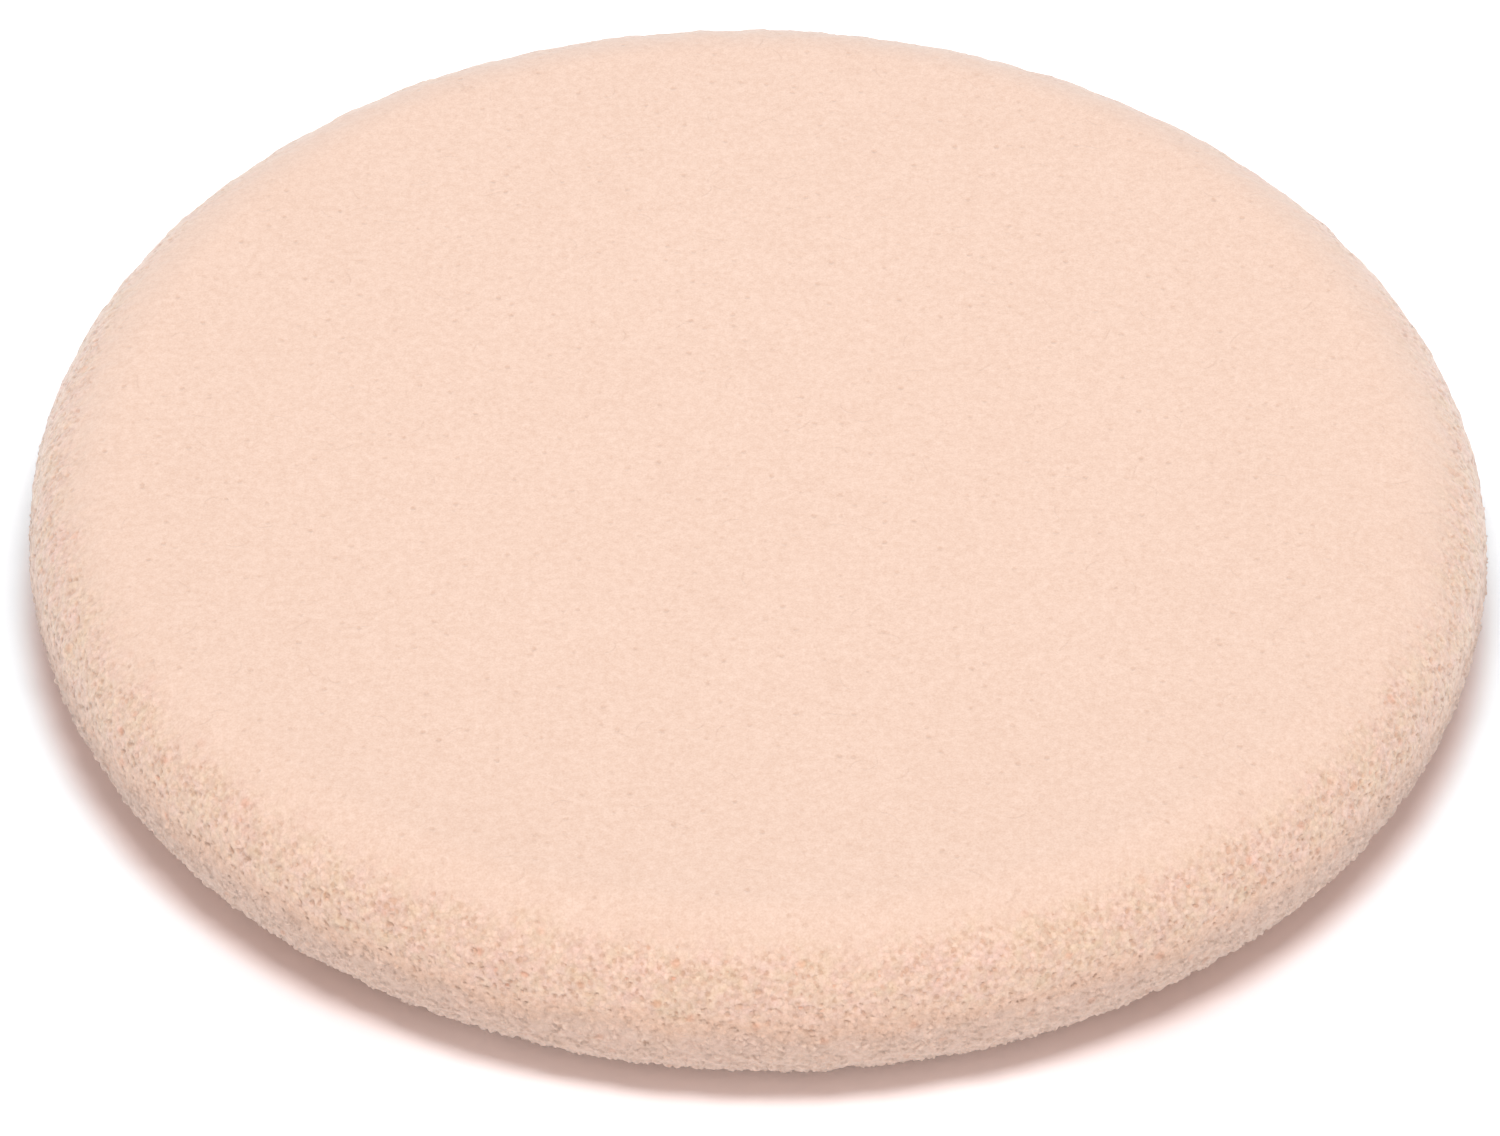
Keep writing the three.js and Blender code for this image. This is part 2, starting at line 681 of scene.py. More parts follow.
class NodeSheet:
    """Adds nodes to a tree and links them, in few words."""

    def __init__(self, tree: bpy.types.NodeTree) -> None:
        """Takes the tree that the nodes go into."""
        self.tree = tree

    def add(self, kind: str, **settings: object) -> bpy.types.Node:
        """A new node.

        Args:
            kind: Type of the node.
            settings: Its properties by name.

        Returns:
            The node.
        """
        node = self.tree.nodes.new(kind)
        for name, value in settings.items():
            setattr(node, name, value)
        return node

    def feed(self, socket: bpy.types.NodeSocket, value: object) -> None:
        """Links a socket to another one, or sets its plain value.

        Args:
            socket: Input to feed.
            value: Socket to link it to, or its value.
        """
        if isinstance(value, bpy.types.NodeSocket):
            self.tree.links.new(value, socket)
        else:
            socket.default_value = value

    def results(self, kind: str, values: tuple[object, ...], **settings: object) -> bpy.types.NodeOutputs:
        """A new node with its first inputs fed in order.

        Args:
            kind: Type of the node.
            values: Sockets or plain values for its inputs.
            settings: Its properties by name.

        Returns:
            The node's outputs.
        """
        node = self.add(kind, **settings)
        for socket, value in zip(node.inputs, values):
            self.feed(socket, value)
        return node.outputs

    def math(self, operation: str, *values: object, clamp: bool = False) -> bpy.types.NodeSocket:
        """Result of a Math node on sockets or numbers."""
        return self.results("ShaderNodeMath", values, operation=operation, use_clamp=clamp)[0]

    def vector(self, operation: str, *values: object) -> bpy.types.NodeSocket:
        """Result of a Vector Math node on sockets or triples, each a vector or a colour."""
        return self.results("ShaderNodeVectorMath", values, operation=operation)["Vector"]

    def split(self, value: object) -> bpy.types.NodeOutputs:
        """The red, green and blue of a colour."""
        return self.results("ShaderNodeSeparateColor", (value,))

    def axes(self, value: object) -> bpy.types.NodeOutputs:
        """The X, Y and Z of a vector."""
        return self.results("ShaderNodeSeparateXYZ", (value,))

    def grey(self, value: object) -> bpy.types.NodeSocket:
        """Colour with the same value in all three channels."""
        return self.results("ShaderNodeCombineColor", (value,) * 3)["Color"]

    def blend(self, factor: object, first: object, second: object) -> bpy.types.NodeSocket:
        """Shader mixed from the first to the second."""
        return self.results("ShaderNodeMixShader", (factor, first, second))["Shader"]

    def place(self) -> bpy.types.NodeSocket:
        """Place on the piece, in metres."""
        return self.add("ShaderNodeTexCoord").outputs["Object"]

    def attribute(self, name: str) -> bpy.types.NodeSocket:
        """A value that the surface code left on the mesh."""
        return self.add("ShaderNodeAttribute", attribute_name=name).outputs["Fac"]

    def ramp(
        self, value: object, low: float, high: float, to_low: float = 0.0, to_high: float = 1.0
    ) -> bpy.types.NodeSocket:
        """Smooth ramp of a value, held outside.

        Args:
            value: Socket that is ramped.
            low: Value at which the ramp starts; it may be the larger of the two.
            high: Value at which it ends.
            to_low: Result at the start.
            to_high: Result at the end.

        Returns:
            The result.
        """
        node = self.add("ShaderNodeMapRange", interpolation_type="SMOOTHSTEP")
        names = ("Value", "From Min", "From Max", "To Min", "To Max")
        for name, given in zip(names, (value, low, high, to_low, to_high)):
            self.feed(node.inputs[name], given)
        return node.outputs["Result"]

    def mix(self, factor: object, first: object, second: object, blend: str = "MIX") -> bpy.types.NodeSocket:
        """Colour mix.

        Args:
            factor: Share of the second colour.
            first: Socket or colour to start from.
            second: Socket or colour to go to.
            blend: How the second acts on the first.

        Returns:
            The mixed colour.
        """
        node = self.add("ShaderNodeMix", data_type="RGBA", blend_type=blend)
        self.feed(node.inputs["Factor"], factor)
        colours = [socket for socket in node.inputs if socket.type == "RGBA"]
        self.feed(colours[0], first)
        self.feed(colours[1], second)
        return next(socket for socket in node.outputs if socket.type == "RGBA")

    def cells(self, place: object, pitch: float, dimensions: str = "3D") -> bpy.types.NodeOutputs:
        """Voronoi cells.

        Args:
            place: Where they are read.
            pitch: About how far their points lie apart.
            dimensions: Of space, or of the plane of X and Y.

        Returns:
            The outputs of the Voronoi node; its distances are shares of the pitch.
        """
        node = self.add("ShaderNodeTexVoronoi", voronoi_dimensions=dimensions)
        self.feed(node.inputs["Vector"], place)
        self.feed(node.inputs["Scale"], 1.0 / pitch)
        return node.outputs

    def spots(self, cells: bpy.types.NodeOutputs, reach: float, core: float) -> bpy.types.NodeSocket:
        """Soft balls about the points of cells.

        Args:
            cells: Outputs of the Voronoi node.
            reach: Radius of a ball, as a share of the pitch.
            core: Share of that radius within which the ball is full.

        Returns:
            1 in the core of a ball, falling to 0 at its radius.
        """
        return self.ramp(cells["Distance"], reach, core * reach)

    def clouds(self, place: object, size: float, detail: float = 2.0) -> bpy.types.NodeOutputs:
        """Noise texture.

        Args:
            place: Where it is read.
            size: Of its patches, about.
            detail: How many finer layers it has.

        Returns:
            The outputs of the noise node.
        """
        node = self.add("ShaderNodeTexNoise")
        self.feed(node.inputs["Vector"], place)
        self.feed(node.inputs["Scale"], 1.0 / size)
        self.feed(node.inputs["Detail"], detail)
        return node.outputs

    def noise(self, place: object, size: float, detail: float = 2.0) -> bpy.types.NodeSocket:
        """Noise from 0 to 1 with patches of about a given size."""
        return self.clouds(place, size, detail)["Fac"]

    def bent(self, place: object, size: float, reach: float) -> bpy.types.NodeSocket:
        """A place moved by noise, so that shapes read from it are out of round."""
        return self.vector("MULTIPLY_ADD", self.clouds(place, size)["Color"], (reach,) * 3, place)


Colour = tuple[float, float, float, float]


class GroupSocket(Enum):
    """Kinds of socket on a node group."""

    VALUE = "NodeSocketFloat"
    COLOUR = "NodeSocketColor"


def new_group(
    name: str, outputs: dict[str, GroupSocket]
) -> tuple[bpy.types.NodeTree, NodeSheet, bpy.types.NodeInputs]:
    """An empty shader node group with named outputs.

    Args:
        name: Of the group.
        outputs: Kind of each output by name.

    Returns:
        The group, a sheet to add nodes to it, and the sockets that its results go into.
    """
    tree = bpy.data.node_groups.new(name, "ShaderNodeTree")
    for label, kind in outputs.items():
        tree.interface.new_socket(label, in_out="OUTPUT", socket_type=kind.value)
    sheet = NodeSheet(tree)
    return tree, sheet, sheet.add("NodeGroupOutput").inputs


@dataclass(frozen=True)
class FoamColours:
    """Colours of the foam, linear.

    Attributes:
        skin: Smooth skin of the faces.
        rosy: Crumbs of the ground edge where they are pinkest.
        straw: Crumbs where they are yellowest.
        warm_shade: Painted shade, warmer and darker, on the crumbs that come loose, where the light falls
            away.
        pale: Painted light on the loose crumbs low on the edge, which makes them paler.
        pit: Painted shade inside a cut cell and in the hollows between crumbs.
        ember: Warmer painted shade inside the few cells whose random number is highest.
        gap_shade: Painted shade in the gaps between crumbs: what they keep of their colour.
        dot_shade: Painted shade in the smallest cut cells: what they keep of the colour.
        blush_shade: What the few warm spots keep of it.
    """

    skin: Colour = (0.950, 0.667, 0.527, 1.0)
    rosy: Colour = (0.955, 0.635, 0.527, 1.0)
    straw: Colour = (0.932, 0.670, 0.488, 1.0)
    warm_shade: Colour = (0.962, 0.620, 0.460, 1.0)
    pale: Colour = (1.000, 0.688, 0.550, 1.0)
    pit: Colour = (0.800, 0.500, 0.360, 1.0)
    ember: Colour = (0.920, 0.500, 0.350, 1.0)
    gap_shade: Colour = (0.925, 0.890, 0.855, 1.0)
    dot_shade: Colour = (0.860, 0.795, 0.745, 1.0)
    blush_shade: Colour = (0.950, 0.800, 0.720, 1.0)


@dataclass(frozen=True)
class FoamEffects:
    """Node groups that the foam finishes share.

    Attributes:
        colours: The foam's colours.
    """

    colours: FoamColours

    # Noise that draws crumbs, cells and pin holes out of round
    WOBBLE_SIZE = 0.16 * MM
    WOBBLE_REACH = 0.14 * MM

    # Crumbs: their tones, their hue by noise, and the gaps between them, which take painted shade
    CRUMB_PITCH = 0.20 * MM
    TONE_SHARE = 0.08
    LOOSE_TONE_SHARE = 0.16
    MEAN_TINT = 0.42
    # Painted light that makes the loose crumbs paler low on the edge
    PALE_LIGHT_SHARE = 0.8
    # Painted shade, warmer, part way down the edge where the crumbs come loose and the light falls away
    WARM_SHADE_SHARE = 3.2
    HUE_SIZES = (0.45 * MM, 1.7 * MM)
    HUE_SPAN = (0.30, 0.70)
    HUE_SHARE = 0.5
    ROSY_SHIFT = 0.15
    GAP_SPAN = (0.30, 0.80)
    GAP_DEPTH = 0.5

    # The smallest cut cells and the insides of the larger ones, which take painted shade, and the warm spots
    DOT_PITCH = 0.38 * MM
    DOT_RADIUS = 0.15 * MM
    DOT_DEPTH = 0.8
    BLUSH_PITCH = 1.5 * MM
    BLUSH_RADIUS = 0.27 * MM
    SPOT_CORE = 0.4
    EMBER_SPAN = (0.80, 0.97)
    PIT_SPAN = (0.15, 0.90)

    # Fine grain: its bumps, and sizes of the mottling, each with its share
    GRAIN_SIZE = 0.09 * MM
    GRAIN_DETAIL = 3.0
    MOTTLE_SIZES = (
        (0.085 * MM, 0.13),
        (0.26 * MM, 0.11),
        (0.6 * MM, 0.018),
        (1.8 * MM, 0.012),
        (7.0 * MM, 0.014),
    )
    MOTTLE_TINT = (0.90, 1.35, 1.70)

    # Marks in the skin
    PIN_PITCH = 0.58 * MM
    PIN_RADIUS = 0.155 * MM
    PIN_CORE = 0.25
    PIN_POWER = 1.6
    CREASE_PITCH = 2.1 * MM
    CREASE_HALF_LENGTH = 0.52 * MM
    CREASE_HALF_WIDTH = 0.05 * MM
    CREASE_BOW = 6.0
    CREASE_CORE = 0.2
    CREASE_FULL_LENGTH = 0.6
    CREASE_THRESHOLD = 0.75
    CREASE_STRENGTH = 0.4

    def cell_colour(self) -> bpy.types.NodeTree:
        """Group that colours the foam by how far it is ground and how deep a cut cell is.

        Skin turns to crumbs with the grinding. The crumbs are cells of space, drawn out of round by noise:
        each has its own tone, a slow noise takes it from rosy to straw, and painted shade darkens it into
        the gaps that lie farthest from the cells' points. Loose crumbs have tones of their own; painted light
        makes them paler low on the edge, and where they come loose they take a warmer painted shade. The
        smallest cut cells and the few warm spots are balls about the points of wider cells; the cut cells
        take painted shade. Crumb turns to the pit's painted shade with the depth, and the cells whose random
        number is highest take a warmer painted shade instead.

        Returns:
            A group with the outputs Colour and Height.
        """
        outputs = {"Colour": GroupSocket.COLOUR, "Height": GroupSocket.VALUE}
        tree, sheet, ends = new_group("cell_colour", outputs)
        colours = self.colours
        place = sheet.place()
        ground, cut, loose = (sheet.attribute(name) for name in (GROUND, CUT, LOOSE))
        worn = sheet.math("MULTIPLY", sheet.math("ADD", ground, cut), 0.5)
        bent = sheet.bent(place, self.WOBBLE_SIZE, self.WOBBLE_REACH)
        crumbs = sheet.cells(bent, self.CRUMB_PITCH)

        hue: object = sheet.math("MULTIPLY", sheet.math("SUBTRACT", cut, ground), self.ROSY_SHIFT)
        for size in self.HUE_SIZES:
            patch = sheet.ramp(sheet.noise(place, size), *self.HUE_SPAN, 0.0, self.HUE_SHARE)
            hue = sheet.math("ADD", hue, patch)
        crumb = sheet.mix(sheet.math("MAXIMUM", hue, 0.0), colours.rosy, colours.straw)
        rise = sheet.math("MULTIPLY", loose, sheet.math("SUBTRACT", 1.0, loose))
        # Painted light: the loose crumbs low on the edge turn paler
        crumb = sheet.mix(sheet.math("MULTIPLY", loose, self.PALE_LIGHT_SHARE), crumb, colours.pale)
        # Painted shade, warmer, where the crumbs come loose part way down the edge
        crumb = sheet.mix(sheet.math("MULTIPLY", rise, self.WARM_SHADE_SHARE), crumb, colours.warm_shade)

        off = sheet.math("MULTIPLY", sheet.math("SUBTRACT", sheet.split(crumbs["Color"])["Red"], 0.5), worn)
        lone = sheet.math("SUBTRACT", sheet.attribute(TINT), self.MEAN_TINT)
        lone = sheet.math("MULTIPLY", lone, loose)
        tone = sheet.math("MULTIPLY_ADD", off, 2.0 * self.TONE_SHARE, 1.0)
        tone = sheet.grey(sheet.math("MULTIPLY_ADD", lone, self.LOOSE_TONE_SHARE, tone))
        foam = sheet.mix(1.0, sheet.mix(ground, colours.skin, crumb), tone, "MULTIPLY")

        # Gaps between crumbs: painted shade in the colour, and a dip in the bump
        gap = sheet.math("MULTIPLY", sheet.ramp(crumbs["Distance"], *self.GAP_SPAN), worn)
        # The smallest cut cells, darkened with painted shade
        dots = sheet.cells(bent, self.DOT_PITCH)
        dot = sheet.spots(dots, self.DOT_RADIUS / self.DOT_PITCH, self.SPOT_CORE)
        dot = sheet.math("MULTIPLY", dot, cut)
        blushes = sheet.cells(bent, self.BLUSH_PITCH)
        blush = sheet.spots(blushes, self.BLUSH_RADIUS / self.BLUSH_PITCH, self.SPOT_CORE)
        blush = sheet.math("MULTIPLY", blush, worn)
        # Painted shade in the gaps and in the smallest cut cells; the warm spots are the foam's own colour
        shades = ((gap, colours.gap_shade), (dot, colours.dot_shade), (blush, colours.blush_shade))
        for share, shade in shades:
            foam = sheet.mix(share, foam, shade, "MULTIPLY")

        # Painted shade in cut cells and hollows, by the pore value; warmer in the cells with the highest
        # numbers
        inside = sheet.mix(sheet.ramp(sheet.attribute(EMBER), *self.EMBER_SPAN), colours.pit, colours.ember)
        depth = sheet.ramp(sheet.attribute(PORE), *self.PIT_SPAN)
        sheet.feed(ends["Colour"], sheet.mix(depth, foam, inside))
        hollow = sheet.math("MULTIPLY_ADD", gap, self.GAP_DEPTH, sheet.math("MULTIPLY", dot, self.DOT_DEPTH))
        sheet.feed(ends["Height"], sheet.math("MULTIPLY", hollow, -1.0))
        return tree

    def fine_grain(self) -> bpy.types.NodeTree:
        """Group for the fine cells of the foam: a mottled brightness and a height for bumps.

        The brightness is 1 plus noise of several sizes, each with its own share. Red varies least and blue
        most, as light that goes deeper into the foam comes back warmer.

        Returns:
            A group with the outputs Shade and Height.
        """
        outputs = {"Shade": GroupSocket.COLOUR, "Height": GroupSocket.VALUE}
        tree, sheet, ends = new_group("fine_grain", outputs)
        place = sheet.place()
        mottle: object = 0.0
        for size, share in self.MOTTLE_SIZES:
            centred = sheet.math("SUBTRACT", sheet.noise(place, size), 0.5)
            mottle = sheet.math("MULTIPLY_ADD", centred, 2.0 * share, mottle)
        shade = sheet.vector("MULTIPLY_ADD", mottle, self.MOTTLE_TINT, (1.0, 1.0, 1.0))
        sheet.feed(ends["Shade"], shade)
        sheet.feed(ends["Height"], sheet.noise(place, self.GRAIN_SIZE, self.GRAIN_DETAIL))
        return tree

    def pin_holes(self, sheet: NodeSheet) -> bpy.types.NodeSocket:
        """Soft balls about random points in space, seen where the skin cuts them.

        Args:
            sheet: Where the nodes go.

        Returns:
            How strong a burst pin hole is, from 0 to 1.
        """
        pins = sheet.cells(sheet.bent(sheet.place(), self.WOBBLE_SIZE, self.WOBBLE_REACH), self.PIN_PITCH)
        pin = sheet.spots(pins, self.PIN_RADIUS / self.PIN_PITCH, self.PIN_CORE)
        burst = sheet.math("POWER", sheet.split(pins["Color"])["Red"], self.PIN_POWER)
        return sheet.math("MULTIPLY", pin, burst)

    def creases(self, sheet: NodeSheet) -> bpy.types.NodeSocket:
        """Short curved lines, one in each chosen cell of the plane.

        With the cell's point as origin, turned by a random angle, a crease is where the distance to a
        parabola is under the half width, out to the half length.

        Args:
            sheet: Where the nodes go.

        Returns:
            How strong a crease is, from 0 to 1.
        """
        place = sheet.place()
        cells = sheet.cells(place, self.CREASE_PITCH, "2D")
        chance = sheet.split(cells["Color"])
        offset = sheet.vector("SUBTRACT", place, cells["Position"])
        offset = sheet.vector("MULTIPLY", offset, (1.0 / self.CREASE_PITCH,) * 3)
        turned = sheet.add("ShaderNodeVectorRotate", rotation_type="Z_AXIS")
        sheet.feed(turned.inputs["Vector"], offset)
        sheet.feed(turned.inputs["Angle"], sheet.math("MULTIPLY", chance["Red"], 2.0 * math.pi))
        local = sheet.axes(turned.outputs["Vector"])
        bow = sheet.math("MULTIPLY", sheet.math("SUBTRACT", chance["Green"], 0.5), self.CREASE_BOW)
        sag = sheet.math("MULTIPLY", bow, sheet.math("POWER", local["X"], 2.0))
        aside = sheet.math("ABSOLUTE", sheet.math("SUBTRACT", local["Y"], sag))
        width = self.CREASE_HALF_WIDTH / self.CREASE_PITCH
        length = self.CREASE_HALF_LENGTH / self.CREASE_PITCH
        line = sheet.ramp(aside, width, self.CREASE_CORE * width)
        along = sheet.math("ABSOLUTE", local["X"])
        line = sheet.math("MULTIPLY", line, sheet.ramp(along, length, self.CREASE_FULL_LENGTH * length))
        return sheet.math("MULTIPLY", line, sheet.math("GREATER_THAN", chance["Blue"], self.CREASE_THRESHOLD))

    def skin_marks(self) -> bpy.types.NodeTree:
        """Group for the marks in the smooth skin: burst pin holes and short curved creases.

        Returns:
            A group with the output Marks, from 0 to 1.
        """
        tree, sheet, ends = new_group("skin_marks", {"Marks": GroupSocket.VALUE})
        crease = sheet.math("MULTIPLY", self.creases(sheet), self.CREASE_STRENGTH)
        sheet.feed(ends["Marks"], sheet.math("MAXIMUM", self.pin_holes(sheet), crease))
        return tree


@dataclass(frozen=True)
class FoamFinish:
    """One finish of the foam.

    Attributes:
        name: Of its material.
        marked: True where the smooth skin's pin holes and creases show, with painted shade and a bump.
        roughness: Of the surface.
        fuzz: Strength of the pale bloom that fine cell walls give at a glancing view.
        fuzz_spread: How wide that bloom is, as the roughness of a sheen.
        bump_height: Of the fine grain.
        specular: Strength of the surface's own reflection.
    """

    name: str
    marked: bool
    roughness: float
    fuzz: float = 0.62
    fuzz_spread: float = 0.6
    bump_height: float = 0.020 * MM
    specular: float = 0.2

    # Painted shade in the skin's pin holes and creases, how strongly the marks show, and how deep their bump
    # is
    MARK_SHADE = (0.80, 0.72, 0.66, 1.0)
    MARK_STRENGTH = 0.6
    MARK_DEPTH = 2.0

    def material(self, effects: dict[str, bpy.types.NodeTree]) -> bpy.types.Material:
        """The finish as a material.

        Args:
            effects: The shared node groups by name.

        Returns:
            A new material with a Principled shader.
        """
        made = bpy.data.materials.new(self.name)
        made.use_nodes = True
        sheet = NodeSheet(made.node_tree)
        made.node_tree.nodes.clear()
        shader = sheet.add("ShaderNodeBsdfPrincipled")
        output = sheet.add("ShaderNodeOutputMaterial")
        sheet.feed(output.inputs["Surface"], shader.outputs["BSDF"])
        given = {name: sheet.results("ShaderNodeGroup", (), node_tree=tree) for name, tree in effects.items()}

        cells, grain = given["cell_colour"], given["fine_grain"]
        colour = sheet.mix(1.0, cells["Colour"], grain["Shade"], "MULTIPLY")
        height = sheet.math("ADD", grain["Height"], cells["Height"])
        if self.marked:
            whole = sheet.math("SUBTRACT", 1.0, sheet.attribute(GROUND))
            marks = sheet.math("MULTIPLY", given["skin_marks"]["Marks"], whole)
            marks = sheet.math("MULTIPLY", marks, self.MARK_STRENGTH)
            # Painted shade darkens the pin holes and creases
            colour = sheet.mix(marks, colour, sheet.mix(1.0, colour, self.MARK_SHADE, "MULTIPLY"))
            height = sheet.math("MULTIPLY_ADD", marks, -self.MARK_DEPTH, height)
        sheet.feed(shader.inputs["Base Color"], colour)
        bump = sheet.add("ShaderNodeBump")
        sheet.feed(bump.inputs["Height"], height)
        sheet.feed(bump.inputs["Distance"], self.bump_height)
        sheet.feed(bump.inputs["Strength"], 1.0)
        sheet.feed(shader.inputs["Normal"], bump.outputs["Normal"])
        shader.inputs["Roughness"].default_value = self.roughness
        shader.inputs["Specular IOR Level"].default_value = self.specular
        shader.inputs["Sheen Weight"].default_value = self.fuzz
        shader.inputs["Sheen Roughness"].default_value = self.fuzz_spread
        return made


@dataclass
class FoamLayer:
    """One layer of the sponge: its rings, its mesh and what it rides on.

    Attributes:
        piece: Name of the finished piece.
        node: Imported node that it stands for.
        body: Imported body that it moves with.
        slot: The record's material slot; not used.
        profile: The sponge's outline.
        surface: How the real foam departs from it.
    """

    piece: str
    node: str
    body: str
    slot: str
    profile: SpongeProfile
    surface: FoamSurface

    MAP_NAME = "OFBake"
    FILL = 1.0

    def rings(self) -> Rings:
        """The layer's rings from its upper pole to its lower one."""
        raise NotImplementedError

    def places_on_map(self, rings: Rings, faces: Faces) -> np.ndarray:
        """Place of each face corner on the layer's own map.

        Args:
            rings: The layer's rings.
            faces: Its faces.

        Returns:
            Two numbers from 0 to 1 for each corner of each face.
        """
        raise NotImplementedError

    def build(self) -> bpy.types.Object:
        """Makes the layer's mesh and object.

        Returns:
            The object, at the origin, with its place in its mesh.
        """
        rings = self.rings()
        points, values = self.surface.shape(rings)
        faces = Faces.over(rings)
        real = faces.corner_ring >= 0
        ring = faces.corner_ring[real]
        index = rings.first[ring] + faces.corner_column[real] % rings.columns[ring]
        sizes = real.sum(axis=1)

        mesh = bpy.data.meshes.new(self.piece)
        mesh.vertices.add(len(points))
        mesh.vertices.foreach_set("co", points.astype(np.float32).ravel())
        mesh.loops.add(len(index))
        mesh.loops.foreach_set("vertex_index", index.astype(np.int32))
        mesh.polygons.add(len(sizes))
        mesh.polygons.foreach_set("loop_start", (np.cumsum(sizes) - sizes).astype(np.int32))
        mesh.update(calc_edges=True)
        for name, value in values.items():
            mesh.attributes.new(name, "FLOAT", "POINT").data.foreach_set("value", value.astype(np.float32))
        layer_map = mesh.uv_layers.new(name=self.MAP_NAME)
        layer_map.data.foreach_set("uv", self.places_on_map(rings, faces)[real].astype(np.float32).ravel())
        self.crease_seams(mesh, rings)
        rough = np.empty(3 * len(points), np.float32)
        mesh.vertex_normals.foreach_get("vector", rough)
        shading = self.surface.eased(rough.reshape(-1, 3), rings, values[LOOSE])
        mesh.normals_split_custom_set_from_vertices(shading)
        piece = bpy.data.objects.new(self.piece, mesh)
        bpy.context.scene.collection.objects.link(piece)
        return piece

    def crease_seams(self, mesh: bpy.types.Mesh, rings: Rings) -> None:
        """Shades the mesh smooth, with a sharp edge where the shown surface meets a hidden flat.

        Args:
            mesh: The layer's mesh.
            rings: The rings that it is made of.
        """
        mesh.shade_smooth()
        seam = (rings.beside_hidden() & ~rings.hidden)[rings.ring_of]
        ends = np.empty(2 * len(mesh.edges), np.int32)
        mesh.edges.foreach_get("vertices", ends)
        sharp = seam[ends.reshape(-1, 2)].all(axis=1)
        mesh.attributes.new("sharp_edge", "BOOLEAN", "EDGE").data.foreach_set("value", sharp)

    def dress(self, piece: bpy.types.Object, finish: bpy.types.Material) -> None:
        """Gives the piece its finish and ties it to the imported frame.

        Args:
            piece: The layer's object.
            finish: Its material.
        """
        piece.data.materials.append(finish)
        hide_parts(self.node)
        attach(piece, self.body)


class Side(Enum):
    """The two faces of the sponge."""

    UPPER = 1
    LOWER = -1


@dataclass
class FaceLayer(FoamLayer):
    """A fine-celled layer with one smooth face.

    Attributes:
        side: Which face it carries.
    """

    side: Side = Side.UPPER

    MAP_MIDDLE = (0.5, 0.5)
    MAP_RADIUS = 0.47
    BACK_MIDDLE = (0.06, 0.06)
    BACK_RADIUS = 0.05

    def rings(self) -> Rings:
        """The face, its feathered rim and the hidden flat that lies on the core.

        Returns:
            The rings from the upper pole to the lower one.
        """
        sizes, sign = self.profile.sizes, self.side.value
        rim = self.profile.edge(math.pi / 2.0, sizes.seam_angle)
        if sign < 0:
            rim = self.profile.edge(-sizes.seam_angle, -math.pi / 2.0)
        seam_height = sizes.half_thickness * (1.0 + sign * math.sin(sizes.seam_angle))
        inside = self.profile.inside(seam_height, -sign)
        face = self.profile.face(sign)
        if sign > 0:
            return Rings.joined(face, rim, inside.turned_over())
        return Rings.joined(inside, rim, face.turned_over())

    def places_on_map(self, rings: Rings, faces: Faces) -> np.ndarray:
        """The face spread as a disc by its length along the profile, and the hidden flat in a corner.

        Args:
            rings: The layer's rings.
            faces: Its faces.

        Returns:
            Two numbers from 0 to 1 for each corner of each face.
        """
        arc = rings.arc()
        pole = 0 if self.side is Side.UPPER else -1
        away = np.abs(arc - arc[pole])
        shown_reach = away[~rings.hidden].max()
        turn = 2.0 * np.pi * faces.turns_in(rings)
        around = np.stack([np.cos(turn), np.sin(turn)], axis=-1)
        spread = (self.MAP_RADIUS * away / shown_reach)[faces.corner_ring]
        back = (self.BACK_RADIUS * rings.radius / rings.radius.max())[faces.corner_ring]
        main = np.array(self.MAP_MIDDLE) + spread[..., None] * around
        corner = np.array(self.BACK_MIDDLE) + back[..., None] * around
        return np.where(faces.hidden_in(rings)[:, None, None], corner, main)


@dataclass
class FoamCore(FoamLayer):
    """The open-celled core, bare at the edge, which gives way between the faces.

    Attributes:
        joint: The slide that presses the upper face down; not used.
        press: How far it presses; not used.
    """

    joint: str = "face_press"
    press: float = 0.0

    STRIPS = 4
    STRIP_RISE = 0.21
    STRIP_MARGIN = 0.006
    FLAT_RADIUS = 0.065
    FLAT_MIDDLES = ((0.1, 0.925), (0.3, 0.925))

    def rings(self) -> Rings:
        """The upper hidden flat, the bare edge and the lower hidden flat.

        Returns:
            The rings from the upper pole to the lower one.
        """
        seam = self.profile.sizes.seam_angle
        edge = self.profile.edge(seam, -seam)
        top = self.profile.inside(edge.height[0], 1)
        bottom = self.profile.inside(edge.height[-1], -1)
        return Rings.joined(top, edge, bottom.turned_over())

    def places_on_map(self, rings: Rings, faces: Faces) -> np.ndarray:
        """The edge unrolled in strips, one above the other, and the two hidden flats beside each other.

        Args:
            rings: The layer's rings.
            faces: Its faces.

        Returns:
            Two numbers from 0 to 1 for each corner of each face.
        """
        share = faces.turns_in(rings)
        strip = np.minimum(np.floor(share[:, :1] * self.STRIPS), self.STRIPS - 1)
        arc = rings.arc()
        shown = arc[~rings.hidden]
        rise = (np.clip(arc, shown.min(), shown.max()) - shown.min()) / np.ptp(shown)
        height = self.STRIP_RISE - 2.0 * self.STRIP_MARGIN
        up = strip * self.STRIP_RISE + self.STRIP_MARGIN + height * rise[faces.corner_ring]
        main = np.stack([share * self.STRIPS - strip, up], axis=-1)
        turn = 2.0 * np.pi * share
        around = np.stack([np.cos(turn), np.sin(turn)], axis=-1)
        spread = (self.FLAT_RADIUS * rings.radius / rings.radius.max())[faces.corner_ring]
        is_lower = faces.corner_ring[:, :1] > len(rings.radius) // 2
        middle = np.where(is_lower, self.FLAT_MIDDLES[1], self.FLAT_MIDDLES[0])
        flat = middle[:, None, :] + spread[..., None] * around
        return np.where(faces.hidden_in(rings)[:, None, None], flat, main)

    def dress(self, piece: bpy.types.Object, finish: bpy.types.Material) -> None:
        """Finishes the core and gives it a mesh of its own.

        Args:
            piece: The layer's object.
            finish: Its material.
        """
        super().dress(piece, finish)
        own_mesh(piece)


